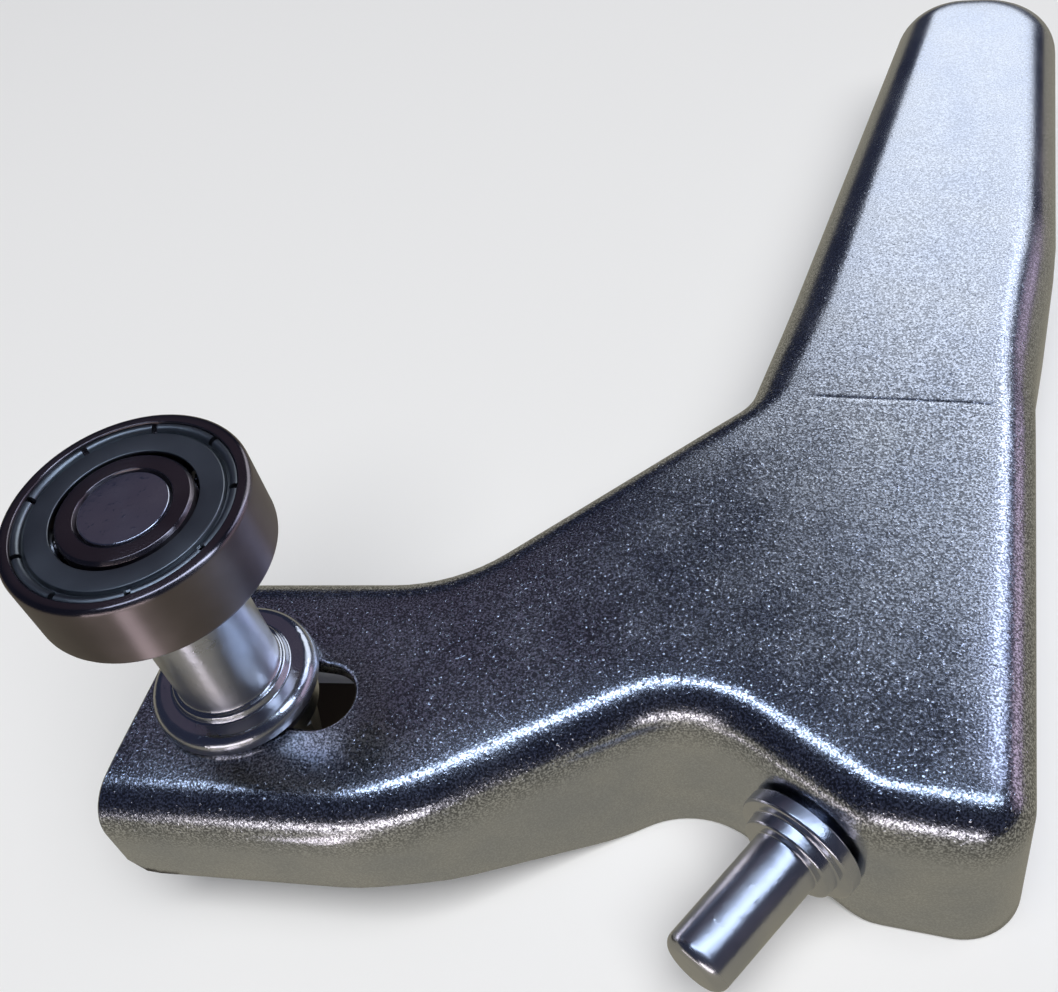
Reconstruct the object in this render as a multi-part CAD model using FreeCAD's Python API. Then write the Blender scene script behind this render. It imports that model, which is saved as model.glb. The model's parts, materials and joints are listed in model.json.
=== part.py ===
"""Pressed steel roller lever: a U-section shell, an adjustable ball-bearing roller and a pivot pin.

All sizes are in millimetres. The model is drawn about the roller stud's axis, with the shell's
flat top face at height zero, and then moved so that its origin is the middle of its base.
"""
import FreeCAD
import Part
import math
import os

from FreeCAD import Vector, Placement, Rotation

# ---- pressed shell ----
SHEET = 2.0                  # sheet thickness
DRAFT = 2.5                  # degrees by which the walls lean outwards towards the rim
BODY_DEPTH = 19.7            # top face to rim under the body and the handle
ARM_DEPTH = 12.2             # top face to rim under the roller arm
ARM_RAMP = (18.6, 36.2)      # where along the arm the rim goes from shallow to deep
RIM_ROUND = 12.0             # rounding of the rim's two bends
BODY_EDGE = 4.6              # rounding of the top edge on the arm and the body
HANDLE_EDGE = 6.3            # rounding of the top edge on the handle
CREASE_Y = 44.0              # tool line where the handle leaves the body
CREASE_X = (49.5, 70.0)
CREASE_DEPTH = 0.3
CREASE_HALF = 0.22
END_CORNER = 2.5             # rounding of the cut end's lower corners
RELIEF_X = 57.0              # shallow relief in the rim below the pin
RELIEF_RADIUS = 12.0
RELIEF_RISE = 0.6

# Corners of the top face's outline, before its edge is rounded, with the rounding of each corner.
# They run counter-clockwise from the cut end.
OUTLINE = [
    ((-9.5, -15.6), 0.0),    # cut end, near side
    ((18.6, -12.7), 24.0),
    ((43.6, 5.4), 10.0),     # hollow beside the pin
    ((60.3, -4.3), 7.0),
    ((73.2, -4.6), 5.0),     # heel
    ((72.8, 51.0), 40.0),    # straight back edge
    ((75.0, 74.0), 60.0),
    ((75.1, 131.3), 10.5),   # handle tip
    ((54.9, 131.3), 8.5),
    ((43.4, 44.7), 7.0),     # inner corner
    ((17.1, 16.5), 17.0),
    ((-9.5, 13.3), 0.0),     # cut end, far side
]

# ---- slot for the roller stud ----
SLOT_HALF = 3.6
SLOT_TRAVEL = 8.6            # from the stud's place at rest to the slot's far end
SLOT_ROUND = 0.5             # rolled-over upper edge

# ---- stud ----
FLANGE_RADIUS = 8.3
FLANGE_TOP = 2.2
FLANGE_ROUND = 1.1
LIP_RADIUS = 5.7
LIP_TOP = 2.9
BARREL_RADIUS = 5.2
BARREL_TOP = 19.5
NECK_RADIUS = 3.5
THREAD_RADIUS = 2.95
STUD_BOTTOM = -12.6
SEAT_SLACK = 0.005

# ---- nut and washers under the slot ----
WASHER_RADIUS = 7.0
WASHER_THICK = 1.6
SPRING_RADIUS = 5.6
SPRING_THICK = 2.0
SPRING_GAP = 1.2
NUT_FLATS = 10.0
NUT_THICK = 5.0
THREAD_SLACK = 0.05
SHEET_SLACK = 0.02           # between the sheet and a washer or collar

# ---- ball bearing, 8 x 22 x 7 ----
BORE = 4.0
OUTER = 11.0
WIDTH = 7.0
CORNER = 0.6
PITCH = 7.5
BALL = 1.984
BALL_COUNT = 7
BALL_SLACK = 0.05
GROOVE = 2.1
INNER_LAND = 6.05
OUTER_LAND = 9.2
SHIELD_SEAT = 9.8
SHIELD_SEAT_DEPTH = 0.75
SHIELD_BORE = 6.45
SHIELD_THICK = 0.3
CAGE_BAND = (6.65, 8.35)
CAGE_THICK = 0.3
POCKET_SLACK = 0.08
RIVET_RADIUS = 0.35
RIVET_HEAD = 0.55
RIVET_HEAD_THICK = 0.25

# ---- pivot pin ----
PIN_WALL = (2, 3)            # it stands square on the wall between these two outline corners
PIN_ALONG = 13.4             # from the first of them
PIN_HEIGHT = -10.5
PIN_RADIUS = 3.25
PIN_LENGTH = 16.0
PIN_ROUND = 1.1
COLLAR_RADIUS = 6.0
COLLAR_THICK = 1.6
SHOULDER_RADIUS = 4.6
SHOULDER_END = 2.9
TENON_RADIUS = 3.9
TENON_SLACK = 0.02
HEAD_RADIUS = 4.8
HEAD_THICK = 1.6
BACKING_RADIUS = 4.9
BACKING_THICK = 1.5

UP = Vector(0, 0, 1)
BEARING_MIDDLE = BARREL_TOP + WIDTH / 2


def rounded_path(corners, closed=True):
    """Straight runs between the corners, joined by tangent arcs of the given radii."""
    count = len(corners)
    starts, ends, arcs = [], [], []
    for i, (place, radius) in enumerate(corners):
        here = Vector(place[0], place[1], 0)
        if radius == 0:
            starts.append(here)
            ends.append(here)
            arcs.append(None)
            continue
        before = Vector(*corners[i - 1][0], 0) - here
        after = Vector(*corners[(i + 1) % count][0], 0) - here
        before.normalize()
        after.normalize()
        half = before.getAngle(after) / 2
        reach = radius / math.tan(half)
        middle = before + after
        middle.normalize()
        crown = here + middle * (radius / math.sin(half) - radius)
        starts.append(here + before * reach)
        ends.append(here + after * reach)
        arcs.append(crown)
    edges = []
    for i in range(count):
        if arcs[i]:
            edges.append(Part.Arc(starts[i], arcs[i], ends[i]).toShape())
        j = (i + 1) % count
        if j or closed:
            edges.append(Part.LineSegment(ends[i], starts[j]).toShape())
    return Part.Wire(edges)


def flat_at(wire, height):
    """A flat outline lifted to a height."""
    lifted = wire.copy()
    lifted.translate(Vector(0, 0, height))
    return lifted


def prism(wire, bottom, top):
    """A flat outline made solid between two heights."""
    return Part.Face(flat_at(wire, bottom)).extrude(Vector(0, 0, top - bottom))


def disc(radius, bottom, top, hole=0.0):
    """A round plate on the Z axis, with a hole if one is given."""
    plate = Part.makeCylinder(radius, top - bottom, Vector(0, 0, bottom))
    if hole:
        plate = plate.cut(Part.makeCylinder(hole, top - bottom, Vector(0, 0, bottom)))
    return plate


def turned(profile):
    """A closed (radius, height) profile turned about the Z axis."""
    points = [Vector(r, 0, z) for r, z in profile]
    face = Part.Face(Part.makePolygon(points + points[:1]))
    return face.revolve(Vector(), UP, 360)


def stadium(radius, length):
    """Outline of a slot along X: two half circles, the first one about the origin."""
    low, high = Vector(0, -radius, 0), Vector(length, -radius, 0)
    top_right, top_left = Vector(length, radius, 0), Vector(0, radius, 0)
    return Part.Wire([
        Part.LineSegment(low, high).toShape(),
        Part.Arc(high, Vector(length + radius, 0, 0), top_right).toShape(),
        Part.LineSegment(top_right, top_left).toShape(),
        Part.Arc(top_left, Vector(-radius, 0, 0), low).toShape(),
    ])


def edge_radius(y):
    """Rounding of the shell's top edge: larger on the handle, blended across its root."""
    blend = min(1.0, max(0.0, (y - CREASE_Y + 4) / 24))
    return BODY_EDGE + (HANDLE_EDGE - BODY_EDGE) * blend


def domed_blank(wire, bottom, top, shrink):
    """A drafted block whose top edge is rounded, by a radius that grows towards the handle."""
    document = FreeCAD.newDocument("shell")
    outline = document.addObject("Part::Feature", "Outline")
    outline.Shape = flat_at(wire, top)
    base = document.addObject("Part::Extrusion", "Blank")
    base.Base = outline
    base.DirMode = "Custom"
    base.Dir = -UP
    base.LengthFwd = top - bottom
    base.TaperAngle = DRAFT
    base.Solid = True
    document.recompute()
    blank = base.Shape
    rounded = document.addObject("Part::Fillet", "Rounded")
    rounded.Base = base
    table = []
    for number, edge in enumerate(blank.Edges, 1):
        first, last = edge.firstVertex(True).Point, edge.lastVertex(True).Point
        on_top = abs(first.z - top) < 1e-6 and abs(last.z - top) < 1e-6
        at_cut_end = first.x < OUTLINE[0][0][0] + 0.01 and last.x < OUTLINE[0][0][0] + 0.01
        if on_top and not at_cut_end:
            table.append((number, edge_radius(first.y) - shrink, edge_radius(last.y) - shrink))
    rounded.Edges = table
    document.recompute()
    solid = rounded.Shape.copy()
    FreeCAD.closeDocument(document.Name)
    return solid


def rim_cutter():
    """Everything below the arm's shallower rim, with the cut end's corners rounded off."""
    low, high = -BODY_DEPTH, -ARM_DEPTH
    side = rounded_path([
        ((-30, low - 5), 0.0),
        ((-30, high), 0.0),
        ((ARM_RAMP[0], high), RIM_ROUND),
        ((ARM_RAMP[1], low), RIM_ROUND),
        ((ARM_RAMP[1] + 6, low), 0.0),
        ((ARM_RAMP[1] + 6, low - 5), 0.0),
    ])
    cutter = Part.Face(side).extrude(Vector(0, 0, 80))
    end = OUTLINE[0][0][0]
    corner = Part.makeBox(END_CORNER * 2, END_CORNER * 2, 80,
                          Vector(end - END_CORNER, high - END_CORNER, 0))
    corner = corner.cut(Part.makeCylinder(END_CORNER, 80, Vector(end + END_CORNER,
                                                                 high + END_CORNER, 0)))
    cutter = cutter.fuse(corner)
    cutter.rotate(Vector(), Vector(1, 0, 0), 90)
    cutter.translate(Vector(0, 40, 0))
    return cutter


def relief_cutter():
    """The shallow arc taken out of the near rim, below the pivot pin."""
    middle = Vector(RELIEF_X, -12, -BODY_DEPTH + RELIEF_RISE - RELIEF_RADIUS)
    return Part.makeCylinder(RELIEF_RADIUS, 22, middle, Vector(0, 1, 0))


def crease_cutter():
    """A shallow V-shaped line across the root of the handle."""
    bottom = Vector(CREASE_X[0], CREASE_Y, -CREASE_DEPTH)
    near = Vector(CREASE_X[0], CREASE_Y - CREASE_HALF, 0.05)
    far = Vector(CREASE_X[0], CREASE_Y + CREASE_HALF, 0.05)
    face = Part.Face(Part.makePolygon([bottom, near, far, bottom]))
    return face.extrude(Vector(CREASE_X[1] - CREASE_X[0], 0, 0))


def wall_lean(depth):
    """How far a wall has leaned outwards at a depth below the top face."""
    return depth * math.tan(math.radians(DRAFT))


def pin_axis():
    """Where the pin's collar stands on the wall, at its lower edge, and the pin's direction."""
    start, end = (Vector(*OUTLINE[k][0], PIN_HEIGHT) for k in PIN_WALL)
    along = (end - start).normalize()
    outwards = Vector(along.y, -along.x, 0)
    lean = wall_lean(COLLAR_RADIUS - PIN_HEIGHT) + SHEET_SLACK
    return start + along * PIN_ALONG + outwards * lean, outwards


def to_pin(shape):
    """Moves a shape drawn along Z from the wall outwards onto the pivot pin's axis."""
    foot, outwards = pin_axis()
    moved = shape.copy()
    moved.Placement = Placement(foot, Rotation(UP, outwards))
    return moved


def end_cutter():
    """Everything beyond the square cut across the end of the arm."""
    end = OUTLINE[0][0][0]
    return Part.makeBox(20, 60, 60, Vector(end - 20, -30, -40))


def make_shell():
    """The pressed lever: handle, body and roller arm from one sheet, open underneath."""
    outside = domed_blank(rounded_path(OUTLINE), -BODY_DEPTH, 0.0, 0.0)
    through_end = [((x - 8, y), r) if x < 0 else ((x, y), r) for (x, y), r in OUTLINE]
    lining = rounded_path(through_end).makeOffset2D(-SHEET, 0, False, False, True)
    inside = domed_blank(lining, -BODY_DEPTH - 1, -SHEET, SHEET)
    shell = outside.cut(inside)

    slot = prism(stadium(SLOT_HALF, SLOT_TRAVEL), -SHEET - 1, 1)
    roll = Part.makeLoft([flat_at(stadium(SLOT_HALF, SLOT_TRAVEL), -SLOT_ROUND),
                          flat_at(stadium(SLOT_HALF + SLOT_ROUND, SLOT_TRAVEL), 0.0)],
                         True, True)
    hole = to_pin(disc(TENON_RADIUS + TENON_SLACK, -SHEET - 3, 1))
    cutters = (end_cutter(), rim_cutter(), relief_cutter(), slot, roll, hole, crease_cutter())
    for tool in cutters:
        shell = shell.cut(tool)
    return shell


def make_stud():
    """Turned stud: thread, neck in the slot, flange, lip, barrel and the bearing's seat."""
    neck_end = -SHEET
    seat = BORE - SEAT_SLACK
    top = BARREL_TOP + WIDTH - 0.1
    shank = turned([
        (0, STUD_BOTTOM), (THREAD_RADIUS - 0.5, STUD_BOTTOM), (THREAD_RADIUS, STUD_BOTTOM + 0.5),
        (THREAD_RADIUS, neck_end), (NECK_RADIUS, neck_end), (NECK_RADIUS, 0),
        (FLANGE_RADIUS, 0), (FLANGE_RADIUS, FLANGE_TOP), (LIP_RADIUS, FLANGE_TOP),
        (LIP_RADIUS, LIP_TOP), (BARREL_RADIUS, LIP_TOP), (BARREL_RADIUS, BARREL_TOP),
        (seat, BARREL_TOP), (seat, top - 0.4), (seat - 0.4, top), (0, top),
    ])
    rims = [e for e in shank.Edges if e.Length > 2 * math.pi * (FLANGE_RADIUS - 0.01)
            and abs(e.CenterOfMass.z - FLANGE_TOP) < 1e-6]
    return shank.makeFillet(FLANGE_ROUND, rims)


def make_nut():
    """Hexagon lock nut on the stud's thread, under the washers."""
    top = -SHEET - SHEET_SLACK - WASHER_THICK - SPRING_THICK
    across_corners = NUT_FLATS / math.cos(math.pi / 6)
    corners = [Vector(across_corners / 2 * math.cos(k * math.pi / 3),
                      across_corners / 2 * math.sin(k * math.pi / 3), 0) for k in range(6)]
    blank = prism(Part.makePolygon(corners + corners[:1]), top - NUT_THICK, top)
    chamfer = across_corners / 2 - NUT_FLATS / 2 + 0.1
    rounding = turned([
        (0, top - NUT_THICK), (NUT_FLATS / 2 - 0.1, top - NUT_THICK),
        (across_corners / 2 + 0.05, top - NUT_THICK + chamfer / 2),
        (across_corners / 2 + 0.05, top - chamfer / 2), (NUT_FLATS / 2 - 0.1, top), (0, top),
    ])
    bore = Part.makeCylinder(THREAD_RADIUS + THREAD_SLACK, NUT_THICK + 2,
                             Vector(0, 0, top - NUT_THICK - 1))
    return blank.common(rounding).cut(bore)


def make_washers():
    """The flat washer under the sheet and the split spring washer under it."""
    hole = THREAD_RADIUS + 0.3
    top = -SHEET - SHEET_SLACK
    flat = disc(WASHER_RADIUS, top - WASHER_THICK, top, hole)
    spring = disc(SPRING_RADIUS, top - WASHER_THICK - SPRING_THICK, top - WASHER_THICK, hole)
    split = Part.makeBox(SPRING_RADIUS, SPRING_GAP, SPRING_THICK + 2,
                         Vector(hole - 0.5, -SPRING_GAP / 2, top - WASHER_THICK - SPRING_THICK - 1))
    split.rotate(Vector(), UP, -35)
    return flat, spring.cut(split)


def ball_place(number):
    angle = 2 * math.pi * number / BALL_COUNT
    return Vector(PITCH * math.cos(angle), PITCH * math.sin(angle), BEARING_MIDDLE)


def raceway():
    """The round groove that the balls run in, as a ring to cut from both bearing rings."""
    return Part.makeTorus(PITCH, GROOVE + BALL_SLACK, Vector(0, 0, BEARING_MIDDLE))


def make_bearing_rings():
    """Inner and outer ring of the bearing, with chamfered corners and shield seats."""
    low, high = BARREL_TOP, BARREL_TOP + WIDTH
    c = CORNER
    inner = turned([
        (BORE, low + c), (BORE + c, low), (INNER_LAND, low), (INNER_LAND, high),
        (BORE + c, high), (BORE, high - c),
    ])
    step = SHIELD_SEAT_DEPTH
    outer = turned([
        (OUTER_LAND, low + step), (SHIELD_SEAT, low + step), (SHIELD_SEAT, low),
        (OUTER - c, low), (OUTER, low + c), (OUTER, high - c), (OUTER - c, high),
        (SHIELD_SEAT, high), (SHIELD_SEAT, high - step), (OUTER_LAND, high - step),
    ])
    return inner.cut(raceway()), outer.cut(raceway())


def make_shield():
    """Dished sheet-metal shield, crimped into the outer ring's upper seat."""
    rim = BARREL_TOP + WIDTH - 0.15
    plate = rim - 0.2
    t = SHIELD_THICK
    return turned([
        (SHIELD_BORE, plate - t), (8.85, plate - t), (9.1, rim - t), (SHIELD_SEAT - 0.02, rim - t),
        (SHIELD_SEAT - 0.02, rim), (8.95, rim), (8.7, plate), (SHIELD_BORE, plate),
    ])


def mirrored(shape):
    """The same piece on the bearing's other side."""
    return shape.mirror(Vector(0, 0, BEARING_MIDDLE), UP)


def make_cage_half():
    """Pressed ribbon cage, upper half: a flat ring with a dome over each ball."""
    inside, outside = CAGE_BAND
    middle = BEARING_MIDDLE
    half = disc(outside, middle, middle + CAGE_THICK, inside)
    band = disc(outside, middle, middle + WIDTH / 2, inside)
    pocket = BALL + POCKET_SLACK
    for number in range(BALL_COUNT):
        half = half.fuse(Part.makeSphere(pocket + CAGE_THICK, ball_place(number)).common(band))
    for number in range(BALL_COUNT):
        half = half.cut(Part.makeSphere(pocket, ball_place(number)))
    for number in range(BALL_COUNT):
        half = half.cut(rivet_hole(number))
    return half


def rivet_place(number):
    angle = 2 * math.pi * (number + 0.5) / BALL_COUNT
    return Vector(PITCH * math.cos(angle), PITCH * math.sin(angle), 0)


def rivet_hole(number):
    return Part.makeCylinder(RIVET_RADIUS + 0.01, 4, rivet_place(number) + UP * (BEARING_MIDDLE - 2))


def make_rivets():
    """The small rivets that hold the cage's halves together, one between every two balls."""
    reach = CAGE_THICK + RIVET_HEAD_THICK
    rivets = []
    for number in range(BALL_COUNT):
        middle = rivet_place(number) + UP * BEARING_MIDDLE
        rivet = Part.makeCylinder(RIVET_RADIUS, 2 * reach, middle - UP * reach)
        for start in (CAGE_THICK, -reach):
            rivet = rivet.fuse(Part.makeCylinder(RIVET_HEAD, RIVET_HEAD_THICK, middle + UP * start))
        rivets.append(rivet.removeSplitter())
    return Part.makeCompound(rivets)


def make_pin():
    """Turned pivot pin: tenon and riveted head inside the wall, collar, shoulder and free end."""
    inside = backing_face() - BACKING_THICK
    profile = turned([
        (0, inside - HEAD_THICK), (HEAD_RADIUS - 1.2, inside - HEAD_THICK),
        (HEAD_RADIUS, inside - 0.5), (HEAD_RADIUS, inside), (TENON_RADIUS, inside),
        (TENON_RADIUS, 0), (COLLAR_RADIUS, 0), (COLLAR_RADIUS, COLLAR_THICK),
        (SHOULDER_RADIUS, COLLAR_THICK), (SHOULDER_RADIUS, SHOULDER_END),
        (PIN_RADIUS, SHOULDER_END), (PIN_RADIUS, PIN_LENGTH), (0, PIN_LENGTH),
    ])
    tip = [e for e in profile.Edges if abs(e.CenterOfMass.z - PIN_LENGTH) < 1e-6
           and abs(e.Length - 2 * math.pi * PIN_RADIUS) < 1e-3]
    return to_pin(profile.makeFillet(PIN_ROUND, tip))


def backing_face():
    """How far along the pin's axis the backing washer meets the leaning wall's inner side."""
    return -SHEET - 2 * SHEET_SLACK - wall_lean(2 * COLLAR_RADIUS)


def make_backing():
    """Backing washer between the wall and the pin's riveted head."""
    face = backing_face()
    return to_pin(disc(BACKING_RADIUS, face - BACKING_THICK, face, TENON_RADIUS + TENON_SLACK))


def make_parts():
    """Every piece by the name of its node, drawn about the stud's axis."""
    flat, spring = make_washers()
    inner, outer = make_bearing_rings()
    shield, cage = make_shield(), make_cage_half()
    parts = {
        "lever_shell": make_shell(),
        "pivot_pin": make_pin(),
        "pin_backing_washer": make_backing(),
        "roller_stud": make_stud(),
        "clamp_washer": flat,
        "spring_washer": spring,
        "clamp_nut": make_nut(),
        "bearing_inner_ring": inner,
        "bearing_outer_ring": outer,
        "bearing_shield_upper": shield,
        "bearing_shield_lower": mirrored(shield),
        "cage_upper": cage,
        "cage_lower": mirrored(cage),
        "cage_rivets": make_rivets(),
    }
    for number in range(BALL_COUNT):
        parts[f"bearing_ball_{number + 1}"] = Part.makeSphere(BALL, ball_place(number))
    return parts


def main():
    os.makedirs("parts", exist_ok=True)
    parts = make_parts()
    box = Part.makeCompound(list(parts.values())).optimalBoundingBox(False)
    base = Vector((box.XMin + box.XMax) / 2, (box.YMin + box.YMax) / 2, box.ZMin)
    foot, outwards = pin_axis()
    print("stud axis from the origin:", [round(-v, 4) for v in base])
    print("pin leaves the wall at", [round(v, 4) for v in foot - base],
          "towards", [round(v, 5) for v in outwards])
    for name, shape in parts.items():
        shape.translate(-base)
        shape.exportStep(f"parts/{name}.step")
        print(f"{name:22s} valid {shape.isValid()} solids {len(shape.Solids)} "
              f"volume {shape.Volume:10.2f}")


main()
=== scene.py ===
# %% [markdown]
# # A pressed steel roller lever
#
# This lesson dresses a finished mechanical model. The imported frame already knows where every piece
# is and how it moves. We load it first, and keep its box.

# %% Load the frame
import json
import math

import bmesh
import bpy
import numpy as np
from mathutils import Euler, Matrix, Vector
from mathutils.geometry import delaunay_2d_cdt


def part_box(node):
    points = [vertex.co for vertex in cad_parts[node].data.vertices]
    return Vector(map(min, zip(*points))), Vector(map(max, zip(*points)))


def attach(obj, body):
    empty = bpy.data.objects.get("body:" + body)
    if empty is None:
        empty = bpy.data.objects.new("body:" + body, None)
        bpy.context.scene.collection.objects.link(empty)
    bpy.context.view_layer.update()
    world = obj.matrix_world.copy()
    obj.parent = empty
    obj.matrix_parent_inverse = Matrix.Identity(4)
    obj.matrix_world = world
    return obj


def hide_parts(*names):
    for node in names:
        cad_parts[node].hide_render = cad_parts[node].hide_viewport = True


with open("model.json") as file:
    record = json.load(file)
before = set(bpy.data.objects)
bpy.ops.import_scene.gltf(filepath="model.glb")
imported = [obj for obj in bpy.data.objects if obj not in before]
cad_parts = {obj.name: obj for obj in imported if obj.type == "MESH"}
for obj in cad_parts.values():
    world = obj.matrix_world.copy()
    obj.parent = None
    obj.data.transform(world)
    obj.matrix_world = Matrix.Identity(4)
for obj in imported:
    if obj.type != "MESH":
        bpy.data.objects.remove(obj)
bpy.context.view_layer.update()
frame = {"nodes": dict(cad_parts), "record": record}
MM = 0.001
shell_box, stud_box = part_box("lever_shell"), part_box("roller_stud")
STUD_AXIS = (stud_box[0] + stud_box[1]) / 2
FACE_HEIGHT = shell_box[1].z
ORIGIN = Vector((STUD_AXIS.x, STUD_AXIS.y, FACE_HEIGHT))
print("stud axis meets the top face at", [round(v / MM, 3) for v in ORIGIN], "mm")

# %% [markdown]
# ## Helpers
#
# Everything below is drawn in millimetres about the roller stud: X along the slot, Y towards the
# handle, Z up from the flat top face. One function turns such points into a finished mesh in the
# frame, and one adds a node to any tree with its settings and links.

# %% Place points, make a piece, add a node


def make_piece(name, points, faces, material, sharp_degrees=35):
    """A mesh object from points in millimetres about the stud, merged, with outward normals."""
    mesh = bpy.data.meshes.new(name)
    mesh.from_pydata([ORIGIN + Vector(p) * MM for p in points], [], [list(f) for f in faces])
    work = bmesh.new()
    work.from_mesh(mesh)
    bmesh.ops.remove_doubles(work, verts=work.verts, dist=0.002 * MM)
    bmesh.ops.recalc_face_normals(work, faces=work.faces)
    work.to_mesh(mesh)
    work.free()
    mesh.shade_smooth()
    mesh.set_sharp_from_angle(angle=math.radians(sharp_degrees))
    piece = bpy.data.objects.new(name, mesh)
    bpy.context.scene.collection.objects.link(piece)
    mesh.materials.append(material)
    open_edges = sum(1 for use in edge_uses(mesh).values() if use != 2)
    print(f"{name}: {len(mesh.polygons)} faces, {open_edges} open edges")
    return piece


def edge_uses(mesh):
    """How many faces meet at each edge."""
    uses = {}
    for polygon in mesh.polygons:
        for key in polygon.edge_keys:
            uses[key] = uses.get(key, 0) + 1
    return uses


def add(tree, kind, inputs=None, **settings):
    """Adds a node. Each input is a value, or the output socket that feeds it."""
    node = tree.nodes.new(kind)
    for name, value in settings.items():
        setattr(node, name, value)
    for key, value in (inputs or {}).items():
        if isinstance(value, bpy.types.NodeSocket):
            tree.links.new(value, node.inputs[key])
        else:
            node.inputs[key].default_value = value
    return node


def linear(code, alpha=True):
    """An sRGB hex colour as the linear values that the shaders expect."""
    values = [int(code[k:k + 2], 16) / 255 for k in (1, 3, 5)]
    values = [v / 12.92 if v <= 0.04045 else ((v + 0.055) / 1.055) ** 2.4 for v in values]
    return (*values, 1.0) if alpha else tuple(values)


# %% [markdown]
# ## Finishes
#
# Every piece is steel, so the finishes differ in what lies on it and how it was cut. A metal has
# no diffuse colour of its own: what the eye reads is the room, broken up by the surface. The
# relief is therefore the material, and each layer of it is given by a real size and height in
# millimetres.

# %% One metal, many surfaces


def metal(name, colours, roughness, layers, drift_mm=7.0, speckle=None, lathe_marks=0.0):
    """A bare or plated metal. Its colour and roughness drift between two values, and each relief
    layer is (texture, size in mm, stretch per axis, height in mm, mask attribute or None).
    speckle (size in mm, darkest, brightest, mask attribute) breaks the colour up crystal by
    crystal. lathe_marks spreads highlights across the tool's fine grooves."""
    material = bpy.data.materials.new(name)
    material.use_nodes = True
    tree = material.node_tree
    shader = tree.nodes["Principled BSDF"]
    shader.inputs["Metallic"].default_value = 1.0
    place = add(tree, "ShaderNodeTexCoord").outputs["Object"]
    drift = add(tree, "ShaderNodeTexNoise", {"Vector": place, "Scale": 1 / (drift_mm * MM),
                                             "Detail": 3.0}).outputs["Fac"]
    share = add(tree, "ShaderNodeMapRange", {"Value": drift, "From Min": 0.3, "From Max": 0.7})
    tint = add(tree, "ShaderNodeMix", {"Factor": share.outputs["Result"]}, data_type="RGBA")
    tint.inputs[6].default_value = linear(colours[0])
    tint.inputs[7].default_value = linear(colours[1])
    colour = tint.outputs[2]
    if speckle:
        size_mm, darkest, brightest, mask = speckle
        crystals = add(tree, "ShaderNodeTexNoise", {"Vector": place, "Scale": 1 / (size_mm * MM),
                                                    "Detail": 1.0}).outputs["Fac"]
        value = add(tree, "ShaderNodeMapRange", {
            "Value": crystals, "From Min": 0.4, "From Max": 0.66, "To Min": darkest,
            "To Max": brightest}).outputs["Result"]
        cover = add(tree, "ShaderNodeAttribute", attribute_name=mask).outputs["Fac"]
        value = add(tree, "ShaderNodeMapRange", {"Value": cover, "To Min": 1.0,
                                                 "To Max": value}).outputs["Result"]
        shaded = add(tree, "ShaderNodeVectorMath", {0: colour, "Scale": value}, operation="SCALE")
        colour = shaded.outputs["Vector"]
    tree.links.new(colour, shader.inputs["Base Color"])
    rough = add(tree, "ShaderNodeMapRange", {"Value": drift, "From Min": 0.3, "From Max": 0.7,
                                             "To Min": roughness[0], "To Max": roughness[1]})
    roughest = rough.outputs["Result"]
    if lathe_marks:
        side = add(tree, "ShaderNodeAttribute", attribute_name="side").outputs["Fac"]
        roughest = add(tree, "ShaderNodeMath", {0: side, 1: lathe_marks * 0.25, 2: roughest},
                       operation="MULTIPLY_ADD").outputs["Value"]
    tree.links.new(roughest, shader.inputs["Roughness"])
    normal = None
    for texture, size_mm, stretch, height_mm, mask in layers:
        spot = add(tree, "ShaderNodeMapping", {"Vector": place, "Scale": stretch})
        pattern = add(tree, "ShaderNodeTexNoise", {"Vector": spot.outputs["Vector"],
                                                   "Scale": 1 / (size_mm * MM)})
        height = pattern.outputs["Fac"]
        pattern.inputs["Detail"].default_value = 2.0
        if texture == "speck":
            height = add(tree, "ShaderNodeMath", {0: height, 1: 10.0}, operation="POWER").outputs[0]
        if mask:
            cover = add(tree, "ShaderNodeAttribute", attribute_name=mask).outputs["Fac"]
            height = add(tree, "ShaderNodeMath", {0: height, 1: cover},
                         operation="MULTIPLY").outputs["Value"]
        bump = add(tree, "ShaderNodeBump", {"Height": height, "Distance": height_mm * MM})
        if normal:
            tree.links.new(normal, bump.inputs["Normal"])
        normal = bump.outputs["Normal"]
    tree.links.new(normal, shader.inputs["Normal"])
    if lathe_marks:
        shader.inputs["Anisotropic"].default_value = lathe_marks
        across = add(tree, "ShaderNodeAttribute", attribute_name="across").outputs["Vector"]
        turned_too = add(tree, "ShaderNodeVectorTransform", {"Vector": across},
                         vector_type="VECTOR", convert_from="OBJECT", convert_to="WORLD")
        tree.links.new(turned_too.outputs["Vector"], shader.inputs["Tangent"])
    return material


EVEN = (1.0, 1.0, 1.0)
UPRIGHT = (1.0, 1.0, 0.06)

# Bright zinc plating over grainy pressed sheet: grain of a third of a millimetre that sparkles, a
# slow waviness from the press, and fine upright draw marks on the walls.
plated_sheet = metal(
    "bright_zinc_on_pressed_sheet", ("#cdd2de", "#dcdfe6"), (0.19, 0.26),
    [("noise", 9.0, EVEN, 0.02, None), ("noise", 0.3, EVEN, 0.0065, "grain"),
     ("speck", 0.35, EVEN, 0.55, "grain"), ("noise", 0.5, UPRIGHT, 0.02, "wall")],
    speckle=(0.2, 0.3, 1.3, "grain"))
# Bright zinc plating over a turned bar: glossy, with slight orange peel.
plated_bar = metal(
    "bright_zinc_on_turned_bar", ("#c6cad6", "#dcdde2"), (0.12, 0.2),
    [("noise", 3.0, EVEN, 0.02, None), ("noise", 0.6, EVEN, 0.008, None),
     ("speck", 0.6, EVEN, 0.25, None)], lathe_marks=0.6)
# Zinc on stamped washers and the forged nut: duller and slightly yellow-grey.
plated_hardware = metal(
    "zinc_on_stamped_hardware", ("#b3b3b0", "#cfcdc8"), (0.28, 0.4),
    [("noise", 0.6, EVEN, 0.02, None)])
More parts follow.
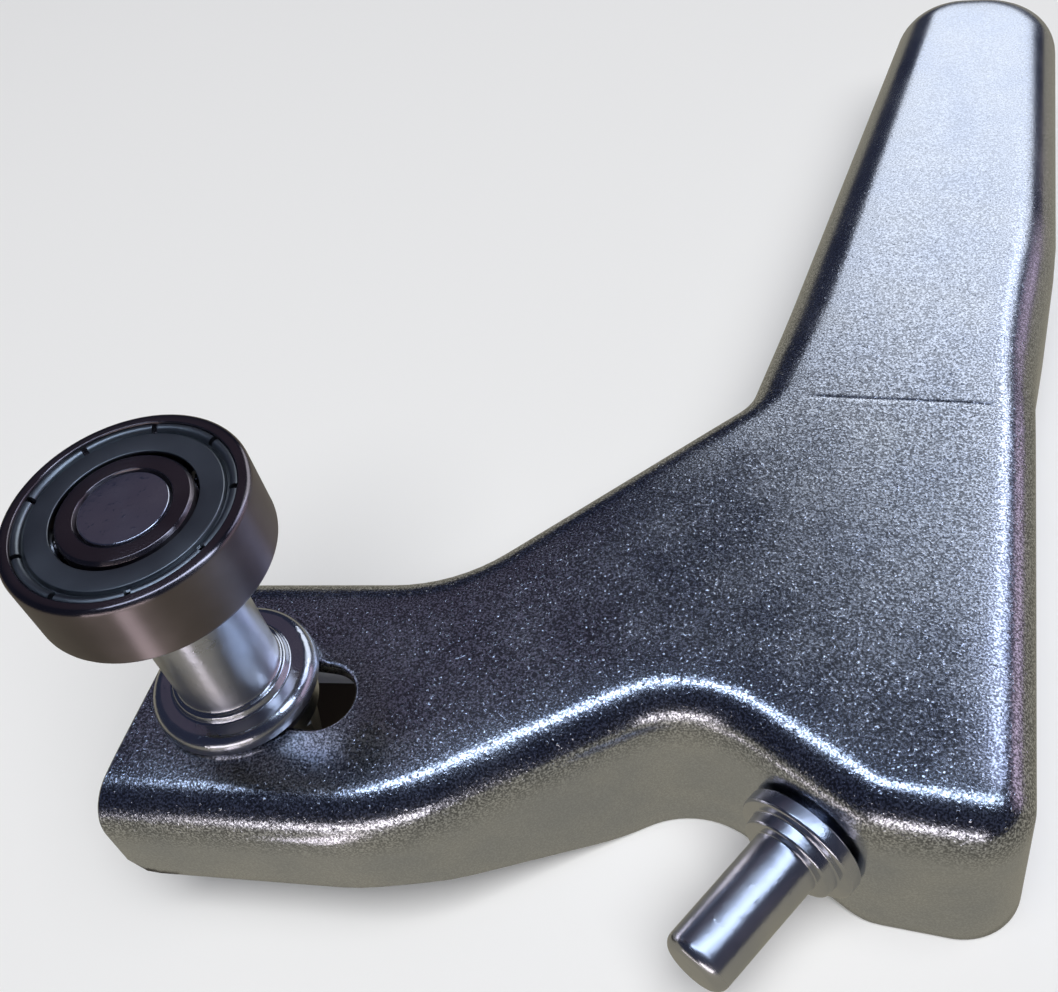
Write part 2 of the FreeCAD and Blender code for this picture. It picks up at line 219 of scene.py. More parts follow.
# Spring steel washer: darker, oiled.
spring_finish = metal(
    "oiled_spring_steel", ("#6f7075", "#8b8b8e"), (0.3, 0.42),
    [("noise", 0.5, EVEN, 0.015, None)])
# Ground bearing steel: warm grey, with grinding lines that run round the ring.
ground_ring = metal(
    "ground_bearing_steel", ("#7a7275", "#908789"), (0.13, 0.18),
    [("noise", 0.25, (0.1, 0.1, 1.0), 0.003, None)], lathe_marks=0.9)
# Satin shield: thin stamped steel, dark and even.
satin_shield = metal(
    "satin_stamped_steel", ("#7b7f82", "#8d9193"), (0.32, 0.4),
    [("noise", 0.3, EVEN, 0.004, None)])
# Pressed ribbon cage and its rivets.
cage_finish = metal(
    "pressed_ribbon_steel", ("#8f8f92", "#a5a4a5"), (0.25, 0.36),
    [("noise", 0.4, EVEN, 0.008, None)])
# Polished balls.
ball_finish = metal(
    "polished_ball_steel", ("#c9cace", "#d4d4d6"), (0.05, 0.08),
    [("noise", 2.0, EVEN, 0.001, None)])
print("finishes:", sorted(m.name for m in bpy.data.materials))

# %% [markdown]
# ## Rounded outlines
#
# A press tool has no sharp corners. The outline of the lever, the profile of each turned piece and
# the line of the rim are all straight runs joined by arcs, so one function draws them all and
# gives the direction square to the line at every point.

# %% Straight runs joined by arcs


def rounded(corners, turn_step=5.0, run_step=1.4):
    """Points along an open line through (place, radius) corners, and the unit vector to the left
    of the line at each."""
    places = [np.array(place, float) for place, _ in corners]
    points, lefts = [places[0]], []
    for i in range(1, len(corners)):
        along = places[i] - places[i - 1]
        along /= np.linalg.norm(along)
        left = np.array([-along[1], along[0]])
        if not lefts:
            lefts.append(left)
        radius = corners[i][1]
        stop, arc = places[i], []
        if radius and i + 1 < len(corners):
            after = places[i + 1] - places[i]
            turn = math.atan2(along[0] * after[1] - along[1] * after[0], along @ after)
            stop = places[i] - along * radius * abs(math.tan(turn / 2))
            middle = stop + left * math.copysign(radius, turn)
            steps = max(1, round(abs(math.degrees(turn)) / turn_step))
            for k in range(1, steps + 1):
                c, s = math.cos(turn * k / steps), math.sin(turn * k / steps)
                turned_left = np.array([c * left[0] - s * left[1], s * left[0] + c * left[1]])
                arc.append((middle - turned_left * math.copysign(radius, turn), turned_left))
        run = stop - points[-1]
        pieces = max(1, math.ceil(np.linalg.norm(run) / run_step))
        start = points[-1]
        for k in range(1, pieces + 1):
            points.append(start + run * k / pieces)
            lefts.append(left)
        for point, turned_left in arc:
            points.append(point)
            lefts.append(turned_left)
    return np.array(points), np.array(lefts)


# %% [markdown]
# ## The pressed shell
#
# One sheet, 2 mm thick, is drawn over a punch: a flat face, a rounded shoulder all round, walls
# that lean out a little, and a rim trimmed by a die. Modelling it by hand would leave uneven
# shoulders that spoil the reflections. We sweep one cross-section round the outline instead, and
# fill the face with a fine triangle mesh that can take shallow dents.

# %% Driving sizes of the shell
SHEET = 2.0
DRAFT = math.radians(2.5)
BODY_DEPTH, ARM_DEPTH = 19.7, 12.2
ARM_RAMP, RIM_ROUND = (18.6, 36.2), 12.0
BODY_EDGE, HANDLE_EDGE = 4.4, 6.0
CREASE_Y, CREASE_X = 44.0, (49.5, 70.5)
CREASE_DEPTH, CREASE_HALF = 0.06, 0.22
END_CORNER = 2.5
RELIEF_X, RELIEF_RADIUS, RELIEF_RISE = 57.0, 12.0, 0.6
NEAR_SIDE_Y, HANDLE_SIDE_Y = 5, 40
BLEND_BEFORE, BLEND_LENGTH = 4, 24
CROWN_DROP, CROWN_WIDTH = 0.12, 4.0
EDGE_BREAK = 0.2
RIM_BREAK = 0.3
END_X = -9.5
SLOT_HALF, SLOT_TRAVEL, SLOT_ROLL = 3.6, 8.6, 0.5
DENT_DEPTH, DENT_REACH = 0.3, 2.2
OUTLINE = [
    ((END_X, -15.6), 0.0), ((18.6, -12.7), 24.0), ((43.6, 5.4), 10.0), ((60.3, -4.3), 7.0),
    ((73.2, -4.6), 5.0), ((72.8, 51.0), 40.0), ((75.0, 74.0), 60.0), ((75.1, 131.3), 10.5),
    ((54.9, 131.3), 8.5), ((43.4, 44.7), 7.0), ((17.1, 16.5), 17.0), ((END_X, 13.3), 0.0)]

outline, inward = rounded(OUTLINE)
print("outline points:", len(outline))

# %% [markdown]
# The rim is not level: it is shallow under the arm, drops to the body along a ramp, rises a
# little beside the pin, and its corners at the cut end are rounded off.

# %% How deep the wall goes at each point of the outline
ramp_line, _ = rounded([((-40, -ARM_DEPTH), 0), ((ARM_RAMP[0], -ARM_DEPTH), RIM_ROUND),
                        ((ARM_RAMP[1], -BODY_DEPTH), RIM_ROUND), ((90, -BODY_DEPTH), 0)])


def rim_depth(point):
    """Depth of the rim below the top face at a point of the outline."""
    x, y = point
    depth = BODY_DEPTH if y > HANDLE_SIDE_Y else -np.interp(x, ramp_line[:, 0], ramp_line[:, 1])
    if y < NEAR_SIDE_Y and abs(x - RELIEF_X) < RELIEF_RADIUS:
        rise = math.sqrt(RELIEF_RADIUS ** 2 - (x - RELIEF_X) ** 2) - RELIEF_RADIUS + RELIEF_RISE
        depth -= max(0.0, rise)
    into_corner = END_X + END_CORNER - x
    if into_corner > 0:
        depth -= END_CORNER - math.sqrt(max(0.0, END_CORNER ** 2 - into_corner ** 2))
    return depth


def edge_radius(y):
    """Rounding of the shoulder: larger on the handle, blended across its root."""
    blend = min(1.0, max(0.0, (y - CREASE_Y + BLEND_BEFORE) / BLEND_LENGTH))
    blend = blend * blend * (3 - 2 * blend)
    return BODY_EDGE + (HANDLE_EDGE - BODY_EDGE) * blend


# %% [markdown]
# Each section starts at the broken edge of the rim, climbs the leaning wall and turns over the
# shoulder until it meets the slight slope of the face. The inside follows one sheet thickness in,
# so both skins come from the same rule, and the rim joins them.

# %% The swept shoulder and wall
CROWN_SLOPE = math.atan(2 * CROWN_DROP / CROWN_WIDTH)
SHOULDER_STEPS, WALL_STEPS = 14, 7


def section(point, skin):
    """(inward, height) pairs of one skin of the wall, from the rim up. skin 0 is the outside and
    SHEET the inside."""
    radius = edge_radius(point[1])
    high = -CROWN_DROP - radius * math.cos(CROWN_SLOPE)
    inset = (radius + high * math.sin(DRAFT)) / math.cos(DRAFT)
    bend = radius - skin
    foot = (inset - bend * math.cos(DRAFT), high + bend * math.sin(DRAFT))
    depth = rim_depth(point)
    side = 1 if skin == 0 else -1

    def wall_at(height):
        return foot[0] + (height - foot[1]) * math.tan(DRAFT)

    rows = []
    for across, up in ((1.0, 0.0), (0.3, 0.3)):
        height = -depth + RIM_BREAK * up
        rows.append((wall_at(height) + side * RIM_BREAK * across, height))
    for k in range(WALL_STEPS):
        height = -depth + RIM_BREAK + (foot[1] + depth - RIM_BREAK) * k / WALL_STEPS
        rows.append((wall_at(height), height))
    last = math.pi / 2 - CROWN_SLOPE
    for k in range(SHOULDER_STEPS + 1):
        angle = DRAFT + (last - DRAFT) * k / SHOULDER_STEPS
        rows.append((inset - bend * math.cos(angle), high + bend * math.sin(angle)))
    return rows


def swept_point(index, inset, height):
    """A point of the sweep. At the two ends the section follows the square cut."""
    x, y = outline[index]
    across = inward[index]
    if index in (0, len(outline) - 1):
        return (END_X + EDGE_BREAK, y + inset / across[1], height)
    return (x + across[0] * inset, y + across[1] * inset, height)


shell_points, shell_faces = [], []
skins = {}
for skin in (0.0, SHEET):
    rings = []
    for i, point in enumerate(outline):
        ring = []
        for inset, height in section(point, skin):
            ring.append(len(shell_points))
            shell_points.append(swept_point(i, inset, height))
        rings.append(ring)
    skins[skin] = np.array(rings)
    for i in range(len(outline) - 1):
        for k in range(len(rings[0]) - 1):
            shell_faces.append((rings[i][k], rings[i + 1][k], rings[i + 1][k + 1], rings[i][k + 1]))
outside, inside = skins[0.0], skins[SHEET]
for i in range(len(outline) - 1):
    shell_faces.append((outside[i][0], inside[i][0], inside[i + 1][0], outside[i + 1][0]))
print("sweep:", len(shell_points), "points")

# %% [markdown]
# The face is nearly flat, so it needs few triangles for its shape, but it carries three shallow
# features: it falls away slightly towards the shoulder, the punch has dished it round the slot,
# and the two halves of the die have left a line across the root of the handle. A triangle mesh
# with extra rows where they matter keeps them all in real geometry.

# %% Points of the top face
FACE_STEP, ROW_PACKING = 0.75, 0.87
FACE_X, FACE_Y = (END_X + 0.8, 76), (-16, 131)
SLOT_RINGS, RING_STEP = 9, 0.35
CREASE_GAP, CREASE_ROW_STEP, CREASE_POINT_STEP = 1.0, 0.14, 0.5
brim = np.array([shell_points[k][:2] for k in outside[:, -1]])
cut_steps = 34
cut_edge = [brim[-1] + (brim[0] - brim[-1]) * k / cut_steps for k in range(1, cut_steps)]


def stadium(radius, count=72):
    """A loop of points round the slot, at a distance from its middle line."""
    loop = []
    for k in range(count):
        angle = 2 * math.pi * (k + 0.5) / count - math.pi / 2
        shift = SLOT_TRAVEL if math.cos(angle) > 0 else 0.0
        loop.append(np.array([shift + radius * math.cos(angle), radius * math.sin(angle)]))
    straight = [np.array([SLOT_TRAVEL * k / 14, radius]) for k in range(13, 0, -1)]
    return loop[:count // 2] + straight + loop[count // 2:] + [
        np.array([SLOT_TRAVEL * k / 14, -radius]) for k in range(1, 14)]


def slot_distance(points):
    """How far points lie from the slot's middle line."""
    x = np.clip(points[:, 0], 0, SLOT_TRAVEL)
    return np.hypot(points[:, 0] - x, points[:, 1])


def brim_distance(points):
    """How far points lie from the top of the shoulder."""
    starts, ends = brim[:-1], brim[1:]
    run = ends - starts
    length = np.maximum((run ** 2).sum(1), 1e-12)
    best = np.full(len(points), 1e9)
    for start, way, square in zip(starts, run, length):
        share = np.clip(((points - start) @ way) / square, 0, 1)
        best = np.minimum(best, np.hypot(*(points - start - share[:, None] * way).T))
    return best


xs = np.arange(*FACE_X, FACE_STEP)
ys = np.arange(*FACE_Y, FACE_STEP * ROW_PACKING)
grid = np.array([(x + (row % 2) * FACE_STEP / 2, y) for row, y in enumerate(ys) for x in xs])
grid = grid[np.abs(grid[:, 1] - CREASE_Y) > CREASE_GAP]
crease_rows = [CREASE_Y + k * CREASE_ROW_STEP for k in range(-6, 7)]
rows = np.array([(x, y) for y in crease_rows for x in np.arange(45, 73, CREASE_POINT_STEP)])
rings = np.array([p for k in range(1, SLOT_RINGS + 1)
                  for p in stadium(SLOT_HALF + SLOT_ROLL + RING_STEP * k)])
far_from_slot = slot_distance(grid) > SLOT_HALF + SLOT_ROLL + 3.5
loose = np.vstack([grid[far_from_slot], rows, rings])
corner_loop = np.vstack([brim, cut_edge])


def within(points, loop):
    """Which points lie inside a closed loop."""
    inside_now = np.zeros(len(points), bool)
    x, y = points.T
    for (x0, y0), (x1, y1) in zip(loop, np.roll(loop, -1, axis=0)):
        crosses = (y0 > y) != (y1 > y)
        at = x0 + (y - y0) * (x1 - x0) / (y1 - y0 + 1e-12)
        inside_now ^= crosses & (x < at)
    return inside_now


keep = within(loose, corner_loop) & (brim_distance(loose) > 0.35)
keep &= loose[:, 0] > END_X + EDGE_BREAK + 0.3
loose = loose[keep]
slot_loop = np.array(stadium(SLOT_HALF + SLOT_ROLL))
flat = [Vector(p) for p in np.vstack([corner_loop, slot_loop, loose])]
ring_edges = [(k, (k + 1) % len(corner_loop)) for k in range(len(corner_loop))]
first = len(corner_loop)
slot_edges = [(first + k, first + (k + 1) % len(slot_loop)) for k in range(len(slot_loop))]
made = delaunay_2d_cdt(flat, ring_edges + slot_edges, [], 1, 1e-5, True)
face_xy = np.array([tuple(v) for v in made[0]])
middles = np.array([face_xy[list(t)].mean(0) for t in made[2]])
solid = within(middles, corner_loop) & (slot_distance(middles) > SLOT_HALF + SLOT_ROLL)
a, b, c = (face_xy[[t[k] for t in made[2]]].T for k in range(3))
solid &= np.abs((b - a)[0] * (c - a)[1] - (b - a)[1] * (c - a)[0]) > 1e-4
triangles = [t for t, kept in zip(made[2], solid) if kept]
print("top face:", len(triangles), "triangles")

# %% [markdown]
# The flat mesh now gets its height, and is laid twice, one sheet thickness apart. Its outer points
# are the sweep's own top points, so the face and the shoulder share them and no seam shows.

# %% Height of the top face, and the two skins of the sheet


def face_height(points):
    """Height of the top face: crown, dent round the slot and the line across the root."""
    away = brim_distance(points)
    height = -CROWN_DROP * np.clip(1 - away / CROWN_WIDTH, 0, 1) ** 2
    outside_slot = np.maximum(slot_distance(points) - SLOT_HALF, 0)
    height -= DENT_DEPTH * np.exp(-(outside_slot / DENT_REACH) ** 2)
    x, y = points.T
    over = np.clip((x - CREASE_X[0]) / 2, 0, 1) * np.clip((CREASE_X[1] - x) / 2, 0, 1)
    return height - CREASE_DEPTH * over * np.exp(-((y - CREASE_Y) / CREASE_HALF) ** 2)


heights = face_height(face_xy)
known = {}
for i in range(len(outline)):
    known[i] = (outside[i][-1], inside[i][-1])
source = [list(ids) for ids in made[3]]
skin_ids = []
for k, (x, y) in enumerate(face_xy):
    mark = next((s for s in source[k] if s in known), None)
    if mark is not None:
        skin_ids.append(known[mark])
        continue
    skin_ids.append((len(shell_points), len(shell_points) + 1))
    shell_points.append((x, y, heights[k]))
    shell_points.append((x, y, heights[k] - SHEET))
for a, b, c in triangles:
    shell_faces.append(tuple(skin_ids[v][0] for v in (a, b, c)))
    shell_faces.append(tuple(skin_ids[v][1] for v in (c, b, a)))

# %% [markdown]
# The slot's edge is rolled over where the punch entered, and a little where it left. The cut end
# of the arm is sheared square, with its edges just broken.

# %% The slot's wall and the cut end
of_source = {s: k for k, ids in enumerate(source) for s in ids}
slot_ring = [of_source[first + k] for k in range(len(slot_loop))]
level = heights[slot_ring[0]]
rolls = [(SLOT_ROLL * (1 - math.sin(a)), -SLOT_ROLL * (1 - math.cos(a)))
         for a in np.radians((22.5, 45, 67.5, 90))]
wall_rows = [[skin_ids[k][0] for k in slot_ring]]
for out, down in rolls + [(out, -SHEET - down) for out, down in reversed(rolls)]:
    loop = stadium(SLOT_HALF + out)
    wall_rows.append(list(range(len(shell_points), len(shell_points) + len(loop))))
    shell_points += [(x, y, level + down) for x, y in loop]
wall_rows.append([skin_ids[k][1] for k in slot_ring])
for upper, lower in zip(wall_rows, wall_rows[1:]):
    for k in range(len(upper)):
        j = (k + 1) % len(upper)
        shell_faces.append((upper[k], upper[j], lower[j], lower[k]))

cut_ids = [of_source[len(brim) + k] for k in range(len(cut_edge))]
end_outer = list(outside[0]) + [skin_ids[k][0] for k in reversed(cut_ids)]
end_outer += list(reversed(outside[-1]))
end_inner = list(inside[0]) + [skin_ids[k][1] for k in reversed(cut_ids)]
end_inner += list(reversed(inside[-1]))
broken = []
for near, far in ((end_outer, end_inner), (end_inner, end_outer)):
    row = []
    for a, b in zip(near, far):
        here, there = Vector(shell_points[a]), Vector(shell_points[b])
        spot = here + (there - here).normalized() * EDGE_BREAK * 0.8
        row.append(len(shell_points))
        shell_points.append((END_X, spot.y, spot.z))
    broken.append(row)
for left_row, right_row in ((end_outer, broken[0]), (broken[0], broken[1]),
                            (broken[1], end_inner)):
    for k in range(len(left_row) - 1):
        shell_faces.append((left_row[k], left_row[k + 1], right_row[k + 1], right_row[k]))
    for k in (0, -1):
        if left_row is broken[0]:
            shell_faces.append((end_outer[k], broken[0][k], broken[1][k], end_inner[k]))

shell = make_piece("pressed_shell", shell_points, shell_faces, plated_sheet)

# %% [markdown]
# The stretched walls are smoother than the face, and so is the handle towards its tip. Two values
# stored at each vertex carry that to the material.

# %% Where the sheet is grainy and where it was drawn
WALL_FROM, WALL_FADE, WALL_SMOOTHING = 2.5, 4.0, 0.85
GRAIN_Y, GRAIN_LEFT = (44, 60, 95, 120), (1, 0.7, 0.35, 0.2)
local = np.array([v.co for v in shell.data.vertices]) / MM - np.array(ORIGIN) / MM
wall_share = np.clip((-local[:, 2] - WALL_FROM) / WALL_FADE, 0, 1)
grain_share = (1 - WALL_SMOOTHING * wall_share) * np.interp(local[:, 1], GRAIN_Y, GRAIN_LEFT)
for attribute, values in (("wall", wall_share), ("grain", grain_share)):
    layer = shell.data.attributes.new(attribute, "FLOAT", "POINT")
    layer.data.foreach_set("value", values.astype(np.float32))
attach(shell, "lever")
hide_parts("lever_shell")

# %% [markdown]
# ## Turned pieces
#
# The stud, the pin and the bearing's rings come off a lathe, so each is one profile turned about
# an axis. Real turned edges are never sharp; every corner gets its own small radius, because that
# is where a bright edge line comes from.

# %% Turn a profile


def turned(corners, segments=144, twist=None):
    """Points and faces of a closed (radius, height) outline turned about the Z axis. twist may
    move a point by its radius, height and angle, as a thread does."""
    closed = list(corners) + [corners[0]]
    profile, _ = rounded([(place, radius) for place, radius in closed], 12.0, 2.0)
    profile = profile[:-1]
    points, faces, rows = [], [], []
    for radius, height in profile:
        if radius < 1e-6:
            rows.append([len(points)] * segments)
            points.append((0.0, 0.0, height))
            continue
        row = []
        for k in range(segments):
            angle = 2 * math.pi * k / segments
            r = twist(radius, height, angle) if twist else radius
            row.append(len(points))
            points.append((r * math.cos(angle), r * math.sin(angle), height))
        rows.append(row)
    for upper, lower in zip(rows, rows[1:] + rows[:1]):
        for k in range(segments):
            j = (k + 1) % segments
            face = tuple(dict.fromkeys((upper[k], upper[j], lower[j], lower[k])))
            if len(face) > 2:
                faces.append(face)
    return points, faces


def mark_lathe(piece, foot, axis):
    """Stores, at each vertex, the direction across the tool's grooves."""
    mesh = piece.data
    places = np.array([v.co for v in mesh.vertices]) - np.array(ORIGIN + Vector(foot) * MM)
    normals = np.array([v.normal for v in mesh.vertices])
    around = np.cross(np.array(axis), places)
    around /= np.linalg.norm(around, axis=1)[:, None] + 1e-12
    side = mesh.attributes.new("side", "FLOAT", "POINT")
    side.data.foreach_set("value", (1 - np.abs(normals @ np.array(axis))).astype(np.float32))
    layer = mesh.attributes.new("across", "FLOAT_VECTOR", "POINT")
    layer.data.foreach_set("vector", np.cross(around, normals).astype(np.float32).ravel())


# %% [markdown]
# ### The roller stud
#
# A thread that takes the nut, a neck that slides in the slot, a thick flange with a rounded rim, a
# small lip, a barrel and the bearing's seat. The thread is a triangle wave that climbs one pitch
# in every turn, so it is a rule and not a stack of rings.

# %% Roller stud
STUD_BOTTOM, THREAD_RADIUS, NECK_RADIUS = -12.6, 2.95, 3.5
FLANGE_RADIUS, FLANGE_TOP = 8.3, 2.2
LIP_RADIUS, LIP_TOP = 5.7, 2.9
BARREL_RADIUS, BARREL_TOP = 5.2, 19.5
BORE, WIDTH = 4.0, 7.0
THREAD_PITCH, THREAD_DEPTH = 1.0, 0.5
stud_profile = [
    ((0, STUD_BOTTOM), 0), ((THREAD_RADIUS - 0.6, STUD_BOTTOM), 0),
    ((THREAD_RADIUS, STUD_BOTTOM + 0.6), 0)]
thread_rows = np.arange(STUD_BOTTOM + 0.8, -SHEET - 0.4, THREAD_PITCH / 8)
stud_profile += [((THREAD_RADIUS, z), 0) for z in thread_rows]
stud_profile += [
    ((THREAD_RADIUS, -SHEET), 0), ((NECK_RADIUS, -SHEET), 0), ((NECK_RADIUS, 0), 0),
    ((FLANGE_RADIUS - 0.3, 0.0), 0.1), ((FLANGE_RADIUS, 0.35), 0.3),
    ((FLANGE_RADIUS, FLANGE_TOP), 1.2),
    ((LIP_RADIUS + 0.25, FLANGE_TOP - 0.05), 0.3), ((LIP_RADIUS, LIP_TOP), 0.35),
    ((BARREL_RADIUS, LIP_TOP + 0.1), 0.3), ((BARREL_RADIUS, BARREL_TOP), 0.3),
    ((BORE - 0.005, BARREL_TOP), 0), ((BORE - 0.005, BARREL_TOP + WIDTH - 0.1), 0.12),
    ((0, BARREL_TOP + WIDTH - 0.12), 0)]


def thread(radius, height, angle):
    """Cuts a climbing groove into the thread's radius."""
    if not STUD_BOTTOM + 0.7 < height < -SHEET - 0.3 or abs(radius - THREAD_RADIUS) > 1e-6:
        return radius
    turn = (height / THREAD_PITCH - angle / (2 * math.pi)) % 1
    return radius - THREAD_DEPTH * abs(2 * turn - 1)


stud = make_piece("turned_stud", *turned(stud_profile, 160, thread), plated_bar)
mark_lathe(stud, (0, 0, 0), (0, 0, 1))
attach(stud, "stud")
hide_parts("roller_stud")

# %% [markdown]
# ### The pivot pin
#
# The pin stands square on the near wall. Its axis comes from the frame's own mount record. The
# profile is drawn along that axis from the collar's seat outwards, and then swung into place.

# %% Pivot pin
pivot = next(m for m in frame["record"]["mounts"] if m["name"] == "pivot")
PIN_RADIUS, PIN_LENGTH, SHOULDER_END = 3.25, 16.0, 2.9
COLLAR_RADIUS, COLLAR_THICK, SHOULDER_RADIUS = 6.0, 1.6, 4.6
MOUNT_MIDDLE = (SHOULDER_END + PIN_LENGTH - 1.1) / 2
pin_out = Vector(pivot["axis"]).normalized()
pin_foot = (Vector(pivot["pos_m"]) - ORIGIN) / MM - pin_out * MOUNT_MIDDLE
TENON_RADIUS, HEAD_RADIUS, HEAD_THICK = 3.9, 4.8, 1.6
BACKING_FACE = -SHEET - 0.04 - 2 * COLLAR_RADIUS * math.tan(DRAFT) - 1.5
pin_profile = [
    ((0, BACKING_FACE - HEAD_THICK), 0), ((HEAD_RADIUS - 0.6, BACKING_FACE - HEAD_THICK), 0.8),
    ((HEAD_RADIUS, BACKING_FACE), 0.1), ((TENON_RADIUS, BACKING_FACE), 0), ((TENON_RADIUS, 0), 0),
    ((COLLAR_RADIUS, 0), 0.15), ((COLLAR_RADIUS, COLLAR_THICK), 0.35),
    ((SHOULDER_RADIUS + 0.1, COLLAR_THICK), 0.2), ((SHOULDER_RADIUS, SHOULDER_END), 0.3),
    ((PIN_RADIUS + 0.05, SHOULDER_END), 0.15), ((PIN_RADIUS, PIN_LENGTH), 1.15),
    ((0, PIN_LENGTH), 0)]
pin_points, pin_faces = turned(pin_profile, 128)
swing = pin_out.to_track_quat("Z", "Y").to_matrix()
pin_points = [tuple(swing @ Vector(p) + pin_foot) for p in pin_points]
pin = make_piece("turned_pivot_pin", pin_points, pin_faces, plated_bar)
mark_lathe(pin, pin_foot, pin_out)
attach(pin, "lever")
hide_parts("pivot_pin")

# %% [markdown]
# ### The ball bearing
#
# Two ground rings with rounded corners. The outer ring has a step on each side where the shield is
# pressed in.

# %% Bearing rings
OUTER, INNER_LAND, OUTER_LAND = 11.0, 6.05, 9.2
SHIELD_SEAT, SHIELD_SEAT_DEPTH = 9.8, 0.75
CORNER = 0.55
PITCH, GROOVE = 7.5, 2.15
low, high = BARREL_TOP, BARREL_TOP + WIDTH
centre = (low + high) / 2


def groove(radius_of_land):
    """The ball groove's corners in a ring's profile, from bottom to top, on the given land."""
    half = math.sqrt(GROOVE ** 2 - (PITCH - radius_of_land) ** 2)
    reach = math.asin(half / GROOVE)
    side = math.copysign(1, radius_of_land - PITCH)
    return [((PITCH + side * GROOVE * math.cos(a), centre + GROOVE * math.sin(a)), 0)
            for a in np.linspace(-reach, reach, 13)]


inner_ring = make_piece("ground_inner_ring", *turned(
    [((BORE, centre), 0), ((BORE, high - 0.9), 0.1), ((BORE + 0.33, high - 0.02), 0.1),
     ((INNER_LAND - 0.25, high - 0.02), 0.12), ((INNER_LAND, high - 0.3), 0.1)]
    + [*reversed(groove(INNER_LAND))]
    + [((INNER_LAND, low + 0.02), 0.2), ((BORE, low + 0.02), 0.4)]), ground_ring)
outer_ring = make_piece("ground_outer_ring", *turned(
    [((OUTER, centre), 0), ((OUTER, high), CORNER), ((SHIELD_SEAT, high), 0.12),
     ((SHIELD_SEAT - 0.02, high - SHIELD_SEAT_DEPTH), 0),
     ((OUTER_LAND, high - SHIELD_SEAT_DEPTH), 0.1)]
    + [*reversed(groove(OUTER_LAND))]
    + [((OUTER_LAND, low + SHIELD_SEAT_DEPTH), 0.1),
       ((SHIELD_SEAT - 0.02, low + SHIELD_SEAT_DEPTH), 0),
       ((SHIELD_SEAT, low), 0.12), ((OUTER, low), CORNER)], 192), ground_ring)
for ring, body, node in ((inner_ring, "stud", "bearing_inner_ring"),
                         (outer_ring, "roller", "bearing_outer_ring")):
    mark_lathe(ring, (0, 0, 0), (0, 0, 1))
    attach(ring, body)
    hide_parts(node)

# %% [markdown]
# ### Shields and balls
#
# These repeat round a circle, which is what Geometry Nodes are for. One tree takes a single
# part and its count, sets copies on a circle, joins the plate that they sit on and ends in real
# geometry. The shield's lip is nine crimped tabs with a gap between each pair, so one tab is
# modelled and nine are set round the plate.

# %% A ring of copies, by Geometry Nodes


def ring_tree(name):
    """A tree that sets copies of the incoming mesh on a circle and joins a plate to them."""
    tree = bpy.data.node_groups.new(name, "GeometryNodeTree")
    face = tree.interface
    face.new_socket("Geometry", in_out="INPUT", socket_type="NodeSocketGeometry")
    face.new_socket("Count", in_out="INPUT", socket_type="NodeSocketInt")
    face.new_socket("Radius", in_out="INPUT", socket_type="NodeSocketFloat")
    face.new_socket("Centre", in_out="INPUT", socket_type="NodeSocketVector")
    face.new_socket("Plate", in_out="INPUT", socket_type="NodeSocketObject")
    face.new_socket("Finish", in_out="INPUT", socket_type="NodeSocketMaterial")
    face.new_socket("Geometry", in_out="OUTPUT", socket_type="NodeSocketGeometry")
    given = add(tree, "NodeGroupInput").outputs
    circle = add(tree, "GeometryNodeMeshCircle", {"Vertices": given["Count"],
                                                  "Radius": given["Radius"]})
    index = add(tree, "GeometryNodeInputIndex").outputs["Index"]
    share = add(tree, "ShaderNodeMath", {0: index, 1: given["Count"]}, operation="DIVIDE")
    angle = add(tree, "ShaderNodeMath", {0: share.outputs["Value"], 1: 2 * math.pi},
                operation="MULTIPLY")
    turn = add(tree, "ShaderNodeCombineXYZ", {"Z": angle.outputs["Value"]})
    copies = add(tree, "GeometryNodeInstanceOnPoints", {
        "Points": circle.outputs["Mesh"], "Instance": given["Geometry"],
        "Rotation": turn.outputs["Vector"]})
    plate = add(tree, "GeometryNodeObjectInfo", {"Object": given["Plate"]})
    joined = add(tree, "GeometryNodeJoinGeometry")
    tree.links.new(copies.outputs["Instances"], joined.inputs["Geometry"])
    tree.links.new(plate.outputs["Geometry"], joined.inputs["Geometry"])
    placed = add(tree, "GeometryNodeTransform", {"Geometry": joined.outputs["Geometry"],
                                                 "Translation": given["Centre"]})
    real = add(tree, "GeometryNodeRealizeInstances", {"Geometry": placed.outputs["Geometry"]})
    coat = add(tree, "GeometryNodeSetMaterial", {"Geometry": real.outputs["Geometry"],
                                                 "Material": given["Finish"]})
    add(tree, "NodeGroupOutput", {"Geometry": coat.outputs["Geometry"]})
    return tree


def bare_mesh(name, points, faces):
    """A mesh in metres about its own origin, for a node tree to copy."""
    mesh = bpy.data.meshes.new(name)
    mesh.from_pydata([Vector(p) * MM for p in points], [], [list(f) for f in faces])
    work = bmesh.new()
    work.from_mesh(mesh)
    bmesh.ops.remove_doubles(work, verts=work.verts, dist=0.001 * MM)
    bmesh.ops.recalc_face_normals(work, faces=work.faces)
    work.to_mesh(mesh)
    work.free()
    return mesh


RING = ring_tree("copies_on_a_ring")


